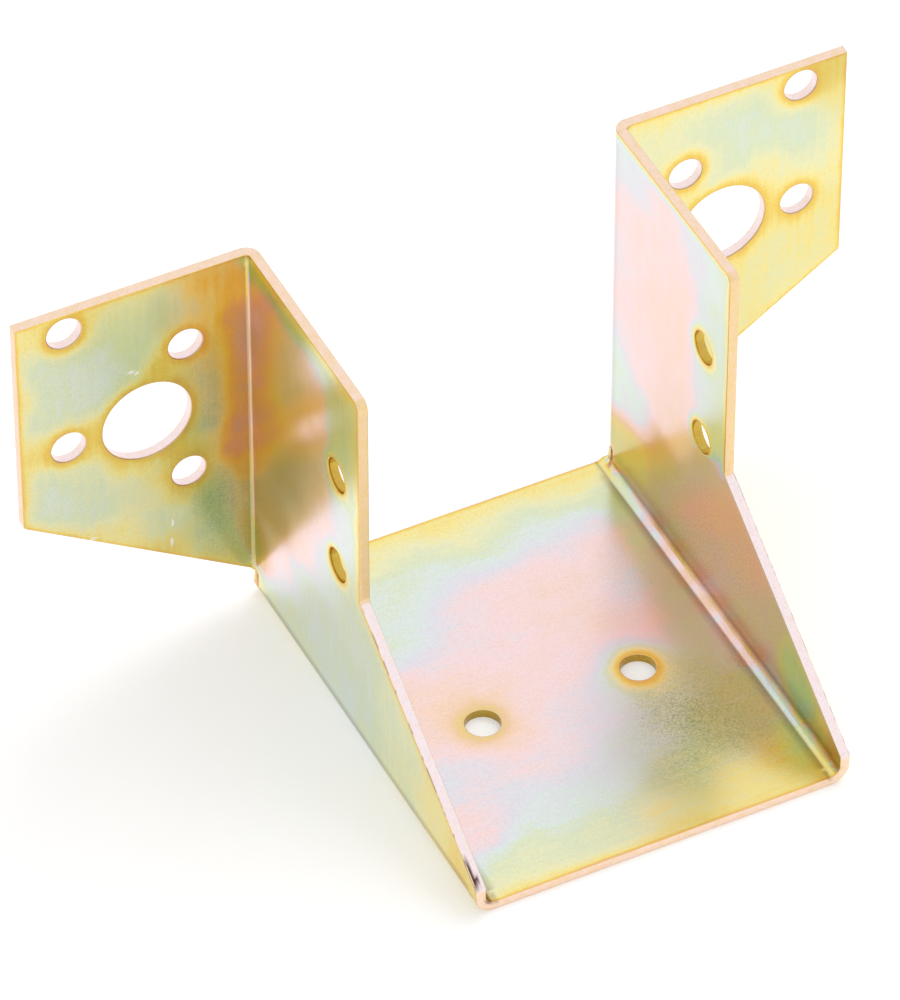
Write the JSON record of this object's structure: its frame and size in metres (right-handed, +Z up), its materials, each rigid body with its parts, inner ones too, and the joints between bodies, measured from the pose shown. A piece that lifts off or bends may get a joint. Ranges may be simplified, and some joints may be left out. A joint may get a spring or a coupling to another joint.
{
  "type": "joist hanger",
  "caption": "Folded sheet-steel hanger: flat seat between two cheeks with sloping fronts, and two side flanges with staggered screw holes and a large anchor hole each.",
  "frame": {"origin": "centre of the underside of the seat, midway between the front edge of the seat and the back of the flanges", "axes": "+Z up, +Y towards the beam or wall that the flanges fasten to, +X across the joist"},
  "size_m": [0.21, 0.116, 0.108],
  "materials": {
    "zinc": "zinc plated with an iridescent yellow passivation, satin"
  },
  "bodies": {
    "root": {"hanger": "zinc"}
  },
  "joints": []
}
